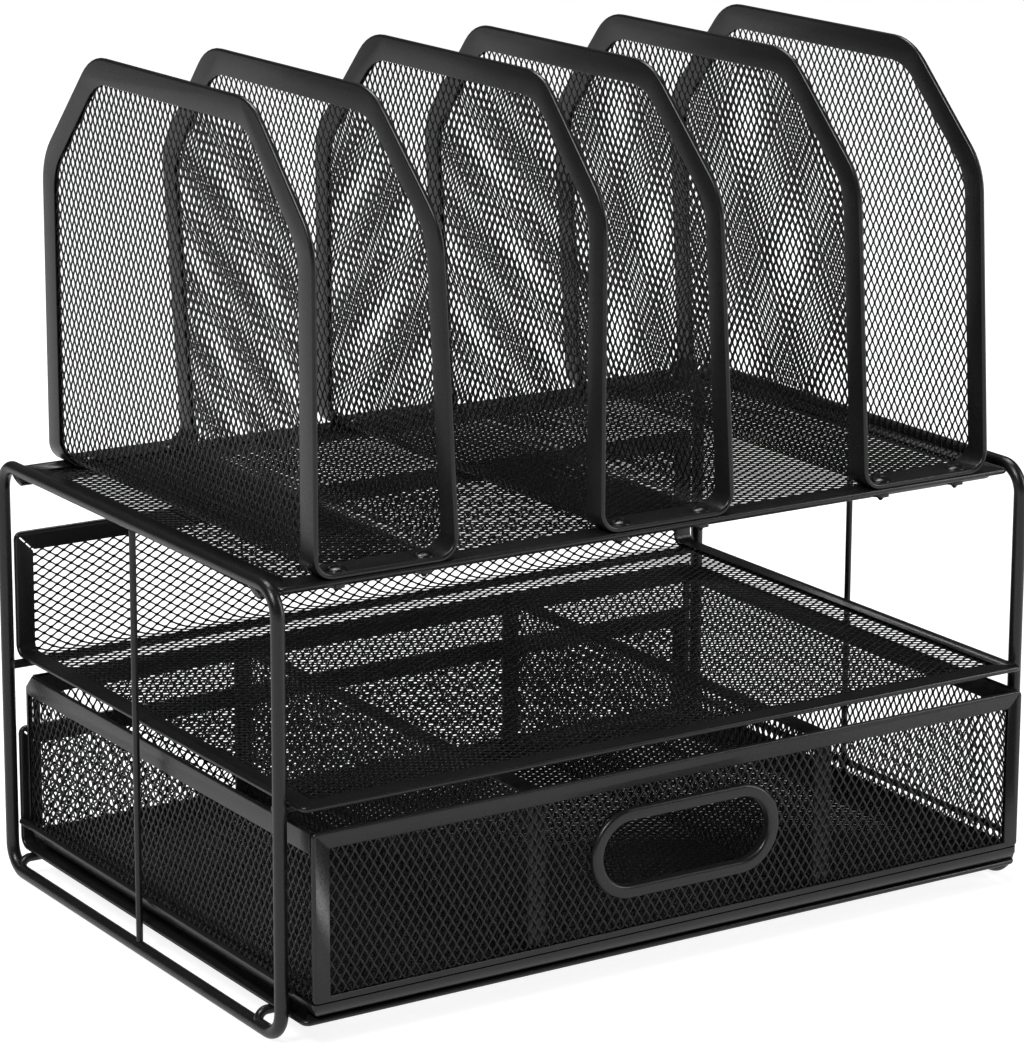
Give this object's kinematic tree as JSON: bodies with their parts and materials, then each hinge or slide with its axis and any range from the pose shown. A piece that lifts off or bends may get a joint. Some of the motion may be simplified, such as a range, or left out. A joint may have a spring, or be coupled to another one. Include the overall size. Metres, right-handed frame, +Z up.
{
  "type": "mesh desk organizer",
  "caption": "Black steel mesh desk organizer: wire side frames carry a base tray with a sliding divided drawer, a middle shelf, and a top shelf with upright U-shaped holders for letters.",
  "frame": {"origin": "middle of the width and of the depth, on the surface that the two side frames stand on", "axes": "+Z up, +X to the right seen from the front, the drawer opens towards -Y"},
  "size_m": [0.327, 0.226, 0.3225],
  "materials": {
    "coated_steel": "satin black powder coat",
    "coated_mesh": "satin black powder coat on expanded steel mesh",
    "screw_steel": "black-finished steel, slightly glossy"
  },
  "bodies": {
    "stand": {"left_side_frame": "coated_steel", "right_side_frame": "coated_steel", "left_upright_wire": "coated_steel", "right_upright_wire": "coated_steel", "left_guard_wire": "coated_steel", "right_guard_wire": "coated_steel", "base_front_wire": "coated_steel", "base_rear_wire": "coated_steel", "middle_front_wire": "coated_steel", "middle_rear_wire": "coated_steel", "top_front_bar": "coated_steel", "top_rear_bar": "coated_steel", "base_tray_mesh": "coated_mesh", "base_tray_hem": "coated_steel", "middle_shelf_mesh": "coated_mesh", "middle_shelf_hem": "coated_steel", "top_shelf_mesh": "coated_mesh", "top_shelf_hem": "coated_steel", "left_holder_mesh": "coated_mesh", "left_holder_hem": "coated_steel", "centre_holder_mesh": "coated_mesh", "centre_holder_hem": "coated_steel", "right_holder_mesh": "coated_mesh", "right_holder_hem": "coated_steel", "holder_screws": "screw_steel", "holder_nuts": "screw_steel"},
    "drawer": {"drawer_front_mesh": "coated_mesh", "drawer_front_hem": "coated_steel", "drawer_left_mesh": "coated_mesh", "drawer_left_hem": "coated_steel", "drawer_right_mesh": "coated_mesh", "drawer_right_hem": "coated_steel", "drawer_rear_mesh": "coated_mesh", "drawer_rear_hem": "coated_steel", "drawer_floor_mesh": "coated_mesh", "drawer_bottom_strip": "coated_steel", "drawer_handle_ring": "coated_steel", "left_partition_mesh": "coated_mesh", "left_partition_strip": "coated_steel", "right_partition_mesh": "coated_mesh", "right_partition_strip": "coated_steel"}
  },
  "joints": [
    {"name": "drawer_slide", "type": "slide", "parent": "stand", "child": "drawer", "axis": [0, -1, 0], "range_m": [0, 0.17]}
  ]
}
